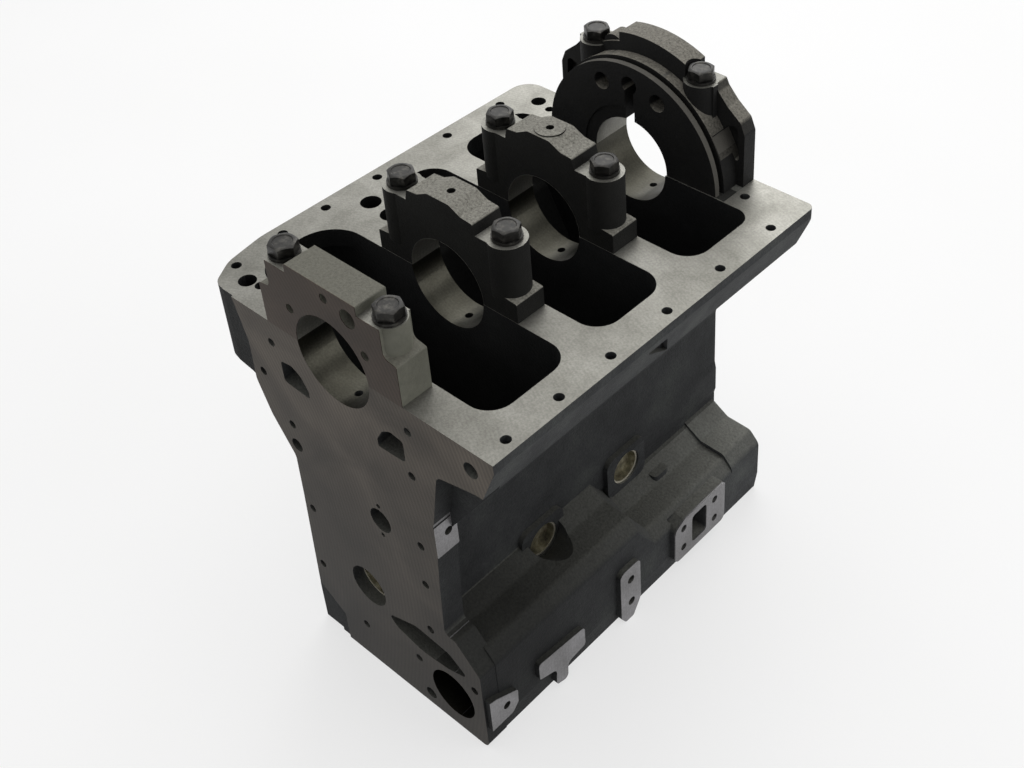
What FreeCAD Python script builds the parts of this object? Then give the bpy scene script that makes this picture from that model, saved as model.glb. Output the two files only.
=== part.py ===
"""Three-cylinder in-line engine block with its main bearing caps, standing on its head face.

Frame: millimetres, +Z up towards the sump rail, +Y from the timing end to the flywheel end,
+X towards the camshaft side. The origin is where the middle cylinder's axis meets the head face.
Stations are distances back from the front face, which is how a block is dimensioned on a drawing.
"""
import FreeCAD, Part
import math
import os

V = FreeCAD.Vector

# Driving dimensions
block_height = 336.4           # head face to sump rail, and to the crankshaft axis
block_length = 353.0           # front face to rear face
cylinder_pitch = 102.0
middle_cylinder_station = 173.0
cylinder_radius = 45.75
barrel_wall = 5.0
barrel_height = 212.0          # lower ends of the barrels, inside the crankcase
main_bore_radius = 37.04
cam_bore_radius = 22.9
cam_x = 78.3
cam_z = 37.2

rail_half_width = 153.0
rail_hole_x = 142.875
rail_hole_radius = 4.0
rail_hole_depth = 14.0
rail_lip = 8.0                 # upright edge of the rail above its draft
oil_passage_depth = 40.0
skirt_edge_x = 138.0           # where the drafted rail side turns under
skirt_edge_drop = 43.4         # how far that edge lies below the sump rail
jacket_half_width = 60.0
jacket_shoulder_z = 184.0      # where the crankcase wall meets the jacket wall
left_skirt_x = 134.0           # lower edge of the upright left skirt
left_skirt_drop = 66.4
left_knee_x = 104.0            # inner end of the left skirt's underside
left_knee_drop = 71.4
cast_wall = 6.0

front_wall = 29.0
centre_web = 28.0
rear_wall = 40.0
front_plate = 20.0

deck_left = 83.0
deck_thickness = 12.0
jacket_top = 150.0
crankcase_floor = 166.0

chest_x = 113.0                # outer wall of the camshaft chest
chest_pad_x = 118.0            # machined pads on that wall
bracket_face_x = 84.0          # bracket pad beside the timing face
chest_front_z = 100.0
chest_rear_z = 64.0
chest_foot_x = 110.0           # outer edge of its foot at the head face
platform_z = 68.0              # raised pad at the rear end of the chest
platform_length = 40.0
chest_end_gap = 3.0            # chest stops short of the rear face

bolt_x = 53.0
bolt_radius = 6.35
bolt_clearance = 0.4
thread_clearance = 0.1
bolt_reach = 40.0              # thread engaged below the cap joint
bolt_head_flats = 19.05
bolt_head_height = 8.0
washer_radius = 11.4
washer_thickness = 2.4

plug_radius = 15.9
front_plug_radius = 19.0
plug_depth = 9.0
plug_wall = 1.5
plug_clearance = 0.05
front_plug_x = -8.0
front_plug_z = 98.0
side_plug_z = 98.0

idler_x = 23.1                 # seat of the idler gear hub in the timing face
idler_z = 194.8
idler_radius = 11.0

stud_x = 49.0
stud_radius = 5.4
stud_depth = 38.0

cap_seat_height = 59.6         # bolt seats of the front and centre caps, above the joint
rear_seat_height = 83.6
cap_register = 0.5             # depth of the machined seat that locates each cap
register_clearance = 0.15
foot_half_width = 71.0         # centre caps
front_foot_half_width = 70.0
rear_foot_half_width = 94.8
cap_half_length = 13.5
oil_hole_radius = 3.2
disc_radius = 86.5             # machined front disc of the rear cap
crown_radius = 104.0           # top of the rear cap, about the crankshaft axis

# Stations worked out from the driving dimensions
main_stations = {
    "front": 14.0,
    "centre_front": middle_cylinder_station - cylinder_pitch / 2,
    "centre_rear": middle_cylinder_station + cylinder_pitch / 2,
    "rear": block_length - 15.0,
}
cylinder_stations = [middle_cylinder_station + cylinder_pitch * k for k in (-1, 0, 1)]
joint_z = block_height
cap_seat_z = joint_z + cap_seat_height
rear_seat_z = joint_z + rear_seat_height
register_z = joint_z - cap_register
skirt_edge_z = block_height - skirt_edge_drop
left_skirt_z = block_height - left_skirt_drop
left_knee_z = block_height - left_knee_drop
chest_end = block_length - chest_end_gap
stud_stations = [middle_cylinder_station + cylinder_pitch * k for k in (-1.5, -0.5, 0.5, 1.5)]
side_plug_stations = (main_stations["centre_front"] - 1.5, main_stations["centre_rear"] - 1.0)
jacket_inner = jacket_half_width - cast_wall


def at(station):
    """Y of a station measured back from the front face."""
    return station - middle_cylinder_station


# Shape helpers

def rounded_wire(corners, lift):
    """Closed wire through (u, v) or (u, v, radius) corners; lift puts (u, v) into space."""
    points = [(c[0], c[1], c[2] if len(c) > 2 else 0.0) for c in corners]
    edges = []
    starts = []
    ends = []
    middles = []
    for i, (u, v, radius) in enumerate(points):
        if radius == 0:
            starts.append((u, v))
            ends.append((u, v))
            middles.append(None)
            continue
        before = points[i - 1]
        after = points[(i + 1) % len(points)]
        a = math.hypot(before[0] - u, before[1] - v)
        b = math.hypot(after[0] - u, after[1] - v)
        du = ((before[0] - u) / a, (before[1] - v) / a)
        dv = ((after[0] - u) / b, (after[1] - v) / b)
        half = math.acos(max(-1.0, min(1.0, du[0] * dv[0] + du[1] * dv[1]))) / 2
        tangent = radius / math.tan(half)
        starts.append((u + du[0] * tangent, v + du[1] * tangent))
        ends.append((u + dv[0] * tangent, v + dv[1] * tangent))
        bisector = (du[0] + dv[0], du[1] + dv[1])
        size = math.hypot(*bisector)
        reach = radius / math.sin(half) - radius
        middles.append((u + bisector[0] / size * reach, v + bisector[1] / size * reach))
    for i in range(len(points)):
        if middles[i]:
            edges.append(Part.Arc(lift(*starts[i]), lift(*middles[i]), lift(*ends[i])).toShape())
        here = ends[i]
        there = starts[(i + 1) % len(points)]
        if math.hypot(here[0] - there[0], here[1] - there[1]) > 1e-6:
            edges.append(Part.LineSegment(lift(*here), lift(*there)).toShape())
    return Part.Wire(edges)


def prism_y(corners, start, end):
    """Solid with an (x, z) outline, between two stations."""
    wire = rounded_wire(corners, lambda x, z: V(x, at(start), z))
    return Part.Face(wire).extrude(V(0, end - start, 0))


def prism_z(corners, low, high):
    """Solid with an (x, station) outline, between two heights."""
    wire = rounded_wire(corners, lambda x, s: V(x, at(s), low))
    return Part.Face(wire).extrude(V(0, 0, high - low))


def prism_x(corners, inner, outer):
    """Solid with a (station, z) outline, between two distances across."""
    wire = rounded_wire(corners, lambda s, z: V(inner, at(s), z))
    return Part.Face(wire).extrude(V(outer - inner, 0, 0))


def round_y(x, z, radius, start, end):
    return Part.makeCylinder(radius, end - start, V(x, at(start), z), V(0, 1, 0))


def round_z(x, station, radius, low, high):
    return Part.makeCylinder(radius, high - low, V(x, at(station), low), V(0, 0, 1))


def round_x(station, z, radius, inner, outer):
    side = 1 if outer > inner else -1
    return Part.makeCylinder(radius, abs(outer - inner), V(inner, at(station), z), V(side, 0, 0))


def join(shapes):
    whole = shapes[0].multiFuse(shapes[1:])
    return whole.removeSplitter()


def rectangle(left, right, low, high, radius=0.0):
    return [(left, low, radius), (right, low, radius), (right, high, radius), (left, high, radius)]


def mirrored(corners):
    """Outline across the symmetry plane from the corners of its right half, bottom to top."""
    left = [(-c[0],) + tuple(c[1:]) for c in reversed(corners)]
    return corners + left


# Cylinder block casting

front_web_start = main_stations["centre_front"] - centre_web / 2
front_web_end = main_stations["centre_front"] + centre_web / 2
rear_web_start = main_stations["centre_rear"] - centre_web / 2
rear_web_end = main_stations["centre_rear"] + centre_web / 2
rear_wall_start = block_length - rear_wall
front_cap_end = front_wall - 2.0
rear_cap_start = rear_wall_start + 1.0
bay_edge = 123.0
bay_corner = 20.0
bay_lip = 16.0                 # thickness of the rail over the wider room below


def crankcase():
    """Skirt under the sump rail: drafted on the right, upright on the left, swept at the left front."""
    section = [
        (jacket_half_width, 0.0), (jacket_half_width, jacket_shoulder_z, 12.0),
        (skirt_edge_x, skirt_edge_z, 4.0),
        (rail_half_width, block_height - rail_lip), (rail_half_width, block_height),
        (-rail_half_width, block_height), (-rail_half_width, block_height - rail_lip),
        (-left_skirt_x, left_skirt_z, 5.0), (-left_knee_x, left_knee_z, 10.0),
        (-jacket_half_width, jacket_shoulder_z, 12.0), (-jacket_half_width, 0.0),
    ]
    skirt = prism_y(section, 0.0, block_length)
    plan = [
        (rail_half_width, 0.0, 3.0), (rail_half_width, block_length, 6.0),
        (-rail_half_width, block_length, 18.0),
        (-rail_half_width, 58.0, 60.0), (-147.0, 24.0, 30.0), (-134.0, 3.0, 12.0), (-112.0, 0.0),
    ]
    trimmed = skirt.common(prism_z(plan, 0.0, block_height))
    return trimmed.cut(front_recesses() + [rail_pocket()])


def front_recesses():
    """Raw cast hollows beside the machined timing face."""
    top = block_height
    outside = rail_half_width + 40.0
    right = prism_y([
        (50.0, -1.0), (outside, -1.0), (outside, top - 37.4), (134.0, top - 39.4), (94.0, top - 47.4, 6.0),
        (50.0, 120.0),
    ], -1.0, front_plate - 4.0)
    left = prism_y([
        (-50.0, -1.0), (-50.0, 190.0), (-101.0, top - 89.4), (-102.0, top - 36.4), (-112.0, top + 1.0),
        (-outside, top + 1.0), (-outside, -1.0),
    ], -1.0, 1.5)
    return [right, left]


def rail_pocket():
    """Three-cornered casting pocket under the right rail."""
    top = block_height - 17.7
    outline = [(155.0, top, 1.0), (177.5, top, 1.5), (190.5, skirt_edge_z, 1.0)]
    return prism_x(outline, skirt_edge_x - 3.0, rail_half_width + 9.0)


def timing_face():
    """Machined front plate that carries the timing case, and the raw wall beside its lower edge."""
    top = block_height
    outline = [
        (-15.0, 5.0), (50.0, 0.0), (chest_x, 0.0, 6.0), (112.5, 86.0, 4.0), (90.0, 110.0, 4.0),
        (78.5, 111.0, 6.0),
        (81.0, 165.0), (bracket_face_x - 0.5, 197.0), (bracket_face_x - 0.5, top - 106.4), (86.0, top - 96.4),
        (95.0, top - 48.4, 8.0), (128.5, top - 40.4, 6.0), (137.0, top - 37.4, 3.0),
        (rail_half_width, top - rail_lip), (rail_half_width, top), (-112.0, top), (-106.2, top - 19.6, 20.0),
        (-101.5, top - 36.7, 20.0), (-103.0, top - 74.4, 16.0), (-92.0, top - 104.4, 10.0),
        (-72.0, 200.0, 12.0),
        (-73.0, 156.0, 40.0), (-77.5, 50.0, 6.0),
    ]
    face = prism_y(outline, 0.0, front_plate)
    raw = prism_y([
        (-deck_left, 0.0), (0.0, 0.0), (0.0, 190.0), (-60.0, 190.0), (-72.0, 150.0), (-deck_left, 40.0),
    ], 3.0, front_plate)
    return [face, raw]


def deck():
    """Head face flange."""
    outline = [
        (-deck_left, 3.0), (108.0, 3.0, 5.0), (108.0, block_length, 10.0), (-deck_left, block_length, 10.0),
    ]
    return prism_z(outline, 0.0, deck_thickness)


def jacket():
    """Water jacket walls, with a soft ridge running along each side."""
    wall = jacket_half_width
    section = mirrored([
        (wall - 2.0, 0.0), (wall - 2.0, 80.0, 8.0), (wall + 1.5, 92.0, 8.0), (wall + 1.5, 117.0, 8.0),
        (wall - 1.5, 131.0, 8.0), (wall, jacket_shoulder_z),
    ])
    return prism_y(section, 3.0, block_length)


def chest_section(height, rise):
    """Outline of the camshaft chest; it climbs to the jacket wall by the rise."""
    return [
        (jacket_inner, 0.0), (chest_foot_x, 0.0), (chest_x, 20.0), (chest_x, height - 11.0, 9.0),
        (chest_x - 10.0, height, 7.0), (78.0, height + 1.0, 6.0), (jacket_inner, height + rise),
    ]


def cam_chest():
    """Camshaft chest along the right side, high at the front and low towards the rear."""
    high_end = 182.0
    low_start = 204.0
    high = chest_section(chest_front_z - 2.0, 14.0)
    low = chest_section(chest_rear_z, 18.0)
    ends = [
        rounded_wire(high, lambda x, z: V(x, at(high_end), z)),
        rounded_wire(low, lambda x, z: V(x, at(low_start), z)),
    ]
    ramp = Part.makeLoft(ends, True, True)
    platform_start = chest_end - platform_length
    body = join([
        prism_y(high, front_plate - 4.0, high_end), ramp, prism_y(low, low_start, platform_start),
        prism_y(chest_section(platform_z, 16.0), platform_start, chest_end),
        prism_z(rectangle(65.0, 77.0, 248.0, 266.0, 4.0), chest_rear_z - 20.0, chest_rear_z + 7.5),
    ])
    # troughs rising from the core plugs
    cuts = []
    for station in side_plug_stations:
        start = V(jacket_half_width - 8.0, at(station), side_plug_z - 4.0)
        cuts.append(Part.makeCylinder(plug_radius + 2.0, 70.0, start, V(1, 0, 0.6)))
    # hollow in the shoulder, in front of the lift pump flange
    top = chest_rear_z + 3.0
    hollow = [(226.0, top - 16.0, 3.0), (226.0, top, 3.0), (241.0, top, 3.0)]
    cuts.append(prism_x(hollow, chest_x - 6.0, chest_x + 10.0))
    return body.cut(cuts)


def side_pads():
    """Raised machined pads and core plug bosses on the side walls."""
    pads = []
    reach = 24.0
    for station in side_plug_stations:
        outline = rectangle(station - reach, station + reach, side_plug_z - 21.0, side_plug_z + 21.0, 8.0)
        boss = prism_x(outline, jacket_inner, jacket_half_width + 6.0)
        pads.append(boss)
        pads.append(boss.mirror(V(0, 0, 0), V(1, 0, 0)))
    inner = chest_x - 8.0
    # timing end bracket pad
    pads.append(prism_x(rectangle(0.0, 21.0, 198.0, 229.0, 1.0), jacket_inner, bracket_face_x))
    # corner bracket pad, joined to the front plate
    pads.append(prism_x([
        (2.0, 24.0), (2.0, 58.0), (9.0, 56.0, 3.0), (31.0, 45.0, 3.0), (30.5, 31.0, 4.0), (24.0, 24.0, 4.0),
    ], inner, chest_pad_x))
    # long pad with a lug
    pads.append(prism_x([
        (55.0, 31.0, 2.0), (55.0, 49.0, 3.0), (108.0, 43.0, 4.0), (108.0, 22.0, 3.0), (87.0, 20.0, 6.0),
        (86.0, 2.0, 4.0), (73.0, 6.0, 3.0), (74.0, 24.0, 6.0),
    ], inner, chest_pad_x))
    # two-hole bracket pad
    pads.append(prism_x([
        (153.0, 8.0, 4.0), (153.0, 62.0, 6.0), (178.0, 62.0, 5.0), (178.0, 16.0, 8.0), (168.0, 0.0, 3.0),
        (158.0, 0.0, 4.0),
    ], inner, chest_pad_x))
    # lift pump flange
    pads.append(prism_x([
        (223.0, 14.0, 6.0), (223.0, 54.0, 8.0), (236.0, 60.0, 6.0), (292.0, 60.0, 3.0), (292.0, 14.0, 6.0),
    ], inner, chest_pad_x + 1.0))
    return pads


def barrels():
    """Siamesed cylinder barrels, from the head face to their ends inside the crankcase."""
    outer = cylinder_radius + barrel_wall
    return [round_z(0, s, outer, 0.0, barrel_height) for s in cylinder_stations]


def stud_columns():
    columns = []
    for station in stud_stations:
        for side in (-1, 1):
            columns.append(round_z(side * stud_x, station, 10.0, 0.0, jacket_top + 4.0))
    return columns


def water_space():
    """Cavity round the barrels, closed by the core plugs."""
    inner = jacket_inner - 1.0
    outline = rectangle(-inner, inner, front_plate + 6.0, block_length - 24.0, 8.0)
    return prism_z(outline, deck_thickness, jacket_top).cut(barrels() + stud_columns())


def chest_rooms():
    """Hollows of the camshaft chest between its bearing walls."""
    high_roof = chest_front_z - 16.0
    low_roof = chest_rear_z - 8.0
    bays = [
        (front_plate + 3.0, front_web_start, high_roof),
        (front_web_end, rear_web_start, low_roof),
        (rear_web_end, rear_wall_start, low_roof),
    ]
    left = jacket_half_width + 5.0
    right = chest_x - 8.0
    floor = deck_thickness + 5.0
    return [prism_y(rectangle(left, right, floor, roof, 5.0), start, end) for start, end, roof in bays]


def crank_bays():
    """Three open bays under the sump rail, narrower towards the cylinders."""
    inner = jacket_inner
    widening = 9.0
    rail_under = block_height - bay_lip
    left_wall = cast_wall + 1.0
    section = [
        (inner, crankcase_floor, 8.0), (inner, jacket_shoulder_z + 3.0, 6.0),
        (skirt_edge_x - cast_wall - 2.0, skirt_edge_z - 1.0, 6.0), (bay_edge + widening, rail_under),
        (-bay_edge - widening, rail_under), (-left_skirt_x + left_wall, left_skirt_z + left_wall, 6.0),
        (-left_knee_x + left_wall, left_knee_z + left_wall, 8.0), (-inner, jacket_shoulder_z + 3.0, 6.0),
        (-inner, crankcase_floor, 8.0),
    ]
    front = [(-127.0, front_wall, 26.0), (bay_edge, front_wall, bay_corner),
             (bay_edge, front_web_start, bay_corner), (-127.0, front_web_start, 32.0)]
    # the middle bay goes round the boss of the oil passages
    middle = [(-80.0, front_web_end, 6.0), (bay_edge, front_web_end, bay_corner),
              (bay_edge, rear_web_start, bay_corner), (-bay_edge, rear_web_start, bay_corner),
              (-bay_edge, 160.0, 10.0), (-88.0, 154.0, 10.0)]
    rear_corner = bay_corner - 6.0
    rear = [(-bay_edge, rear_web_end, bay_corner), (bay_edge, rear_web_end, bay_corner),
            (bay_edge, rear_wall_start, rear_corner), (-bay_edge, rear_wall_start, rear_corner)]
    bays = []
    for plan in (front, middle, rear):
        bays.append(prism_z(plan, rail_under - 1.0, block_height + 1.0))
        wide = [(x + math.copysign(widening, x) if abs(x) >= bay_edge else x, s, r) for x, s, r in plan]
        start = min(corner[1] for corner in plan)
        end = max(corner[1] for corner in plan)
        room = prism_y(section, start - 1.0, end + 1.0)
        bays.append(room.common(prism_z(wide, 0.0, block_height)))
    return bays


def front_holes():
    """Tapped and bored holes in the timing face."""
    top = block_height
    small = [
        (-90.7, top - 60.1), (68.8, top - 65.0), (-71.4, top - 21.6), (71.4, top - 21.6), (-67.2, 236.0),
        (-64.4, 146.8), (-67.3, 79.5), (66.4, 198.6), (64.8, 155.8), (62.1, 102.0), (104.5, 64.5),
        (42.0, 50.9), (-21.7, 40.2),
    ]
    cuts = [round_y(x, z, 3.6, -1.0, 16.0) for x, z in small]
    cuts.append(round_y(-66.9, 214.6, 6.0, -1.0, 16.0))
    cuts.append(round_y(131.2, top - 18.2, 6.5, -1.0, 24.0))
    cuts.append(round_y(50.2, 13.6, 5.5, -1.0, 16.0))
    # idler hub seat and its dowels
    cuts.append(round_y(idler_x, idler_z, idler_radius, -1.0, 24.0))
    for side in (-1, 1):
        cuts.append(round_y(idler_x, idler_z + side * (idler_radius + 4.2), 2.0, -1.0, 8.0))
    # drain windows into the first bay
    for side in (-1, 1):
        window = [
            (side * 36.5, top - 56.4, 2.0), (side * 36.5, top - 49.4, 4.0), (side * 43.0, top - 38.4, 10.0),
            (side * 52.0, top - 33.4, 8.0), (side * 64.5, top - 35.4, 3.0), (side * 64.5, top - 54.9, 4.0),
        ]
        cuts.append(prism_y(window, -1.0, front_wall + 4.0))
    # drain slot over the camshaft
    cuts.append(prism_y([
        (12.0, 80.0, 3.0), (44.0, 91.5, 20.0), (80.0, 88.0, 12.0), (99.0, 74.0, 3.0), (77.0, 67.0, 12.0),
        (48.0, 64.0, 20.0), (20.0, 71.0, 10.0),
    ], -1.0, 25.0))
    return cuts


def rail_holes():
    """Sump bolt holes, oil passages and dowel holes in the sump rail."""
    bottom = block_height - rail_hole_depth
    top = block_height + 1.0
    last = block_length - 44.0
    rows = [(1, (22.0, 72.0, 124.0, 184.5, 246.0, last)), (-1, (72.0, 114.5, 168.0, 246.0, last))]
    cuts = []
    for side, stations in rows:
        for station in stations:
            cuts.append(round_z(side * rail_hole_x, station, rail_hole_radius, bottom, top))
        cuts.append(round_z(side * 103.5, block_length - 23.5, rail_hole_radius, bottom, top))
    cuts.append(round_z(-138.5, 25.0, rail_hole_radius, bottom, top))
    # oil feed and return passages
    passages = (
        (-117.4, 19.0, 7.0), (-105.0, 21.5, 4.5), (-120.8, 141.7, 8.5), (-96.5, 140.5, 8.5),
        (-119.7, block_length - 20.0, 6.5),
    )
    for x, station, radius in passages:
        cuts.append(round_z(x, station, radius, block_height - oil_passage_depth, top))
    return cuts


def cap_registers():
    """Shallow machined seats that locate the main bearing caps."""
    centre = cap_half_length + register_clearance
    seats = [
        (front_foot_half_width, -1.0, front_cap_end + register_clearance),
        (foot_half_width, main_stations["centre_front"] - centre, main_stations["centre_front"] + centre),
        (foot_half_width, main_stations["centre_rear"] - centre, main_stations["centre_rear"] + centre),
        (rear_foot_half_width, rear_cap_start - register_clearance, block_length + 1.0),
    ]
    cuts = []
    for half_width, start, end in seats:
        reach = half_width + register_clearance
        cuts.append(prism_y(rectangle(-reach, reach, register_z, block_height + 1.0), start, end))
    return cuts


def bearing_line():
    """Crankshaft bore, its oil feeds, and the tapped holes of the cap bolts."""
    cuts = [round_y(0, joint_z, main_bore_radius, -1.0, block_length + 1.0)]
    for station in main_stations.values():
        feed = round_z(4.0, station, oil_hole_radius, joint_z - main_bore_radius - 14.0, joint_z - 10.0)
        cuts.append(feed)
        for side in (-1, 1):
            cuts.append(round_z(side * bolt_x, station, bolt_radius + thread_clearance,
                                joint_z - bolt_reach - 4.0, joint_z + 1.0))
    return cuts


def head_face_holes():
    """Cylinder bores, head studs, water transfer holes and tappet bores."""
    cuts = [round_z(0, s, cylinder_radius, -1.0, barrel_height + 1.0) for s in cylinder_stations]
    for station in stud_stations:
        for side in (-1, 1):
            cuts.append(round_z(side * stud_x, station, stud_radius, -1.0, stud_depth))
    for station in cylinder_stations:
        for side in (-1, 1):
            cuts.append(round_z(side * 45.0, station + 31.0, 3.5, -1.0, deck_thickness + 1.0))
            cuts.append(round_z(cam_x, station + side * 22.0, 8.0, -1.0, cam_z))
    return cuts


def side_holes():
    """Holes in the side pads."""
    hole = 3.6
    bottom = chest_x - 5.0
    top = chest_pad_x + 2.0
    cuts = [
        round_x(12.7, 217.0, hole, 70.0, 85.0),
        round_x(18.6, 38.7, hole, bottom, top),
        round_x(166.0, 47.0, 4.0, bottom, top),
        round_x(166.0, 20.0, 4.0, bottom, top),
    ]
    for station in (234.5, 277.5):
        for z in (26.5, 49.5):
            cuts.append(round_x(station, z, hole, bottom, top))
    # lift pump lever window
    cuts.append(prism_x(rectangle(246.0, 266.0, 22.0, 54.0, 4.0), cam_x + 10.0, top))
    return cuts


def plug_holes():
    """Core plug seats through the jacket walls."""
    cuts = []
    for station in side_plug_stations:
        for side in (-1, 1):
            cuts.append(round_x(station, side_plug_z, plug_radius, side * (jacket_half_width + 8.0),
                                side * (jacket_inner - 3.0)))
    cuts.append(round_y(front_plug_x, front_plug_z, front_plug_radius, -1.0, front_plate + 7.0))
    return cuts


def rear_holes():
    """Tapped holes for the flywheel housing in the rear face."""
    cuts = []
    for side in (-1, 1):
        for x, z in ((128.0, block_height - 20.4), (96.0, block_height - 74.4), (50.0, 205.0), (50.0, 30.0)):
            cuts.append(round_y(side * x, z, 5.0, block_length - 20.0, block_length + 1.0))
    return cuts


def cylinder_block():
    solid = join([crankcase(), jacket(), deck(), cam_chest()] + timing_face() + side_pads())
    solid = solid.cut(crank_bays() + [water_space()] + chest_rooms())
    # barrel ends stand up inside the bays
    inside = rectangle(-jacket_inner, jacket_inner, front_plate, block_length)
    above_floor = prism_z(inside, crankcase_floor - 2.0, barrel_height)
    solid = solid.fuse([barrel.common(above_floor) for barrel in barrels()])
    cuts = bearing_line() + head_face_holes() + front_holes() + rail_holes() + side_holes() + plug_holes()
    cuts += rear_holes() + cap_registers()
    cuts.append(round_y(cam_x, cam_z, cam_bore_radius, -1.0, block_length - 14.0))
    return solid.cut(cuts).removeSplitter()


# Main bearing caps

def finish_cap(body, station, seat_z):
    """Bore and bolt holes common to every cap."""
    hole = bolt_radius + bolt_clearance
    cuts = [round_y(0, joint_z, main_bore_radius, -1.0, block_length + 1.0)]
    for side in (-1, 1):
        cuts.append(round_z(side * bolt_x, station, hole, register_z - 1.0, seat_z + 30.0))
    return body.cut(cuts)


def centre_cap(station):
    foot_z = joint_z + 16.6
    arch = prism_y(mirrored([
        (foot_half_width, register_z), (foot_half_width, foot_z, 1.5), (bolt_x, foot_z + 1.5),
        (bolt_x, cap_seat_z), (35.0, cap_seat_z), (33.0, cap_seat_z + 9.0, 2.0),
        (22.0, cap_seat_z + 10.0, 4.0), (11.0, cap_seat_z + 15.5, 6.0),
    ]), station - cap_half_length, station + cap_half_length)
    columns = [round_z(side * bolt_x, station, 15.0, foot_z - 3.0, cap_seat_z) for side in (-1, 1)]
    body = join([arch] + columns)
    body = body.cut(round_z(0, station, oil_hole_radius, joint_z + main_bore_radius - 4.0, cap_seat_z + 24.0))
    return finish_cap(body, station, cap_seat_z)


def centre_rear_cap(station):
    """As the centre front cap, with a spot-faced pad round its oil hole."""
    body = centre_cap(station)
    low = cap_seat_z + 8.0
    boss = round_z(0, station, 12.0, low, low + 8.5)
    boss = boss.cut(round_z(0, station, oil_hole_radius, low - 4.0, low + 12.0))
    return join([body, boss])


def front_cap():
    station = main_stations["front"]
    step_z = cap_seat_z - 25.0
    arch = prism_y(mirrored([
        (front_foot_half_width, register_z), (front_foot_half_width, step_z, 1.5), (58.0, step_z + 2.0, 5.0),
        (58.0, cap_seat_z), (36.0, cap_seat_z), (36.0, cap_seat_z + 7.5, 1.0),
    ]), 0.0, front_cap_end)
    columns = [round_z(side * bolt_x, station, 12.5, step_z - 3.0, cap_seat_z) for side in (-1, 1)]
    body = join([arch] + columns)
    drilled = ((-38.5, joint_z + 27.1), (38.5, joint_z + 27.1), (3.3, joint_z + 57.6))
    holes = [round_y(x, z, 3.8, -1.0, 15.0) for x, z in drilled]
    holes.append(round_y(26.1, joint_z + 52.1, 7.5, -1.0, 14.0))
    return finish_cap(body.cut(holes), station, cap_seat_z)


def rear_cap():
    """Seal housing cap: a machined disc in front, a ribbed cast crown and a wide rear plate."""
    station = main_stations["rear"]
    start = rear_cap_start
    plate_start = block_length - 14.0
    rings = [
        round_y(0, joint_z, disc_radius, start, start + 5.0),
        round_y(0, joint_z, disc_radius - 4.0, start + 4.0, start + 10.0),
        round_y(0, joint_z, disc_radius + 1.5, start + 9.0, plate_start + 1.0),
    ]
    # flat-topped crown over the bore, with a lower step and a lump each side
    crown_start = start + 18.0
    low = joint_z + 60.0
    crown = round_y(0, joint_z, crown_radius, crown_start, block_length)
    crown = crown.common(prism_y(rectangle(-24.0, 45.0, low, joint_z + crown_radius + 4.0), start, block_length))
    step = round_y(0, joint_z, crown_radius - 8.0, crown_start, block_length)
    step = step.common(prism_y(rectangle(-44.0, 46.0, low, joint_z + crown_radius), start, block_length))
    lump = round_y(-32.0, joint_z + 84.0, 11.0, crown_start + 2.0, block_length - 4.0)
    plate = prism_y(mirrored([
        (rear_foot_half_width, register_z), (rear_foot_half_width, joint_z + 47.0, 6.0),
        (90.5, joint_z + 57.5, 6.0), (78.0, joint_z + 67.5, 6.0), (69.0, rear_seat_z - 6.0, 6.0),
        (66.0, rear_seat_z, 2.0), (40.0, rear_seat_z),
    ]), plate_start, block_length)
    low = joint_z + 50.0
    bosses = [prism_y(rectangle(side * (bolt_x - 11.0), side * (bolt_x + 15.0), low, rear_seat_z),
                      start + 20.0, plate_start + 1.0) for side in (-1, 1)]
    columns = [round_z(side * bolt_x, station, 14.0, low, rear_seat_z) for side in (-1, 1)]
    body = join(rings + [crown, step, lump, plate] + bosses + columns)
    reach = rear_foot_half_width + 5.0
    above = rectangle(-reach, reach, register_z, joint_z + crown_radius + 10.0)
    body = body.common(prism_y(above, start, block_length))
    cuts = []
    for side in (-1, 1):
        # open pocket between the buttress ribs
        pocket = [
            (side * 90.0, joint_z + 15.6, 2.0), (side * 73.0, joint_z + 47.6, 4.0),
            (side * 88.0, joint_z + 54.6, 4.0),
        ]
        cuts.append(prism_y(pocket, start + 10.0, plate_start + 7.0))
        cuts.append(round_z(side * bolt_x, station, 12.4, rear_seat_z, joint_z + crown_radius + 5.0))
    # oil drain recess round the bore and the holes of the thrust face
    cuts.append(round_y(0, joint_z, main_bore_radius + 11.0, start - 1.0, start + 1.0))
    ring = 69.5
    for turn in (-24.0, 0.0, 24.0):
        x = ring * math.sin(math.radians(turn))
        z = joint_z + ring * math.cos(math.radians(turn))
        cuts.append(round_y(x, z, 7.5, start - 1.0, start + 19.0))
    cuts.append(prism_y(rectangle(-4.5, 4.5, joint_z + 20.0, joint_z + ring), start - 1.0, start + 19.0))
    return finish_cap(body.cut(cuts), station, rear_seat_z)


# Fasteners

def hex_bolt(x, station, seat_z):
    top = seat_z + washer_thickness
    corner = bolt_head_flats / math.sqrt(3)
    turns = [math.radians(60 * k) for k in range(6)]
    points = [V(x + corner * math.cos(turn), at(station) + corner * math.sin(turn), top) for turn in turns]
    head = Part.Face(Part.makePolygon(points + points[:1])).extrude(V(0, 0, bolt_head_height))
    cap_cone = Part.makeCone(corner + 2.2, bolt_head_flats / 2 - 0.6, 4.0,
                             V(x, at(station), top + bolt_head_height - 4.0), V(0, 0, 1))
    lower = Part.makeCylinder(corner + 2.2, bolt_head_height - 4.0, V(x, at(station), top), V(0, 0, 1))
    head = head.common(cap_cone.fuse(lower))
    shank = round_z(x, station, bolt_radius, joint_z - bolt_reach, top + 1.0)
    return join([head, shank])


def washer(x, station, seat_z):
    ring = round_z(x, station, washer_radius, seat_z, seat_z + washer_thickness)
    return ring.cut(round_z(x, station, bolt_radius + bolt_clearance, seat_z - 1.0, seat_z + 10.0))


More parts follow.
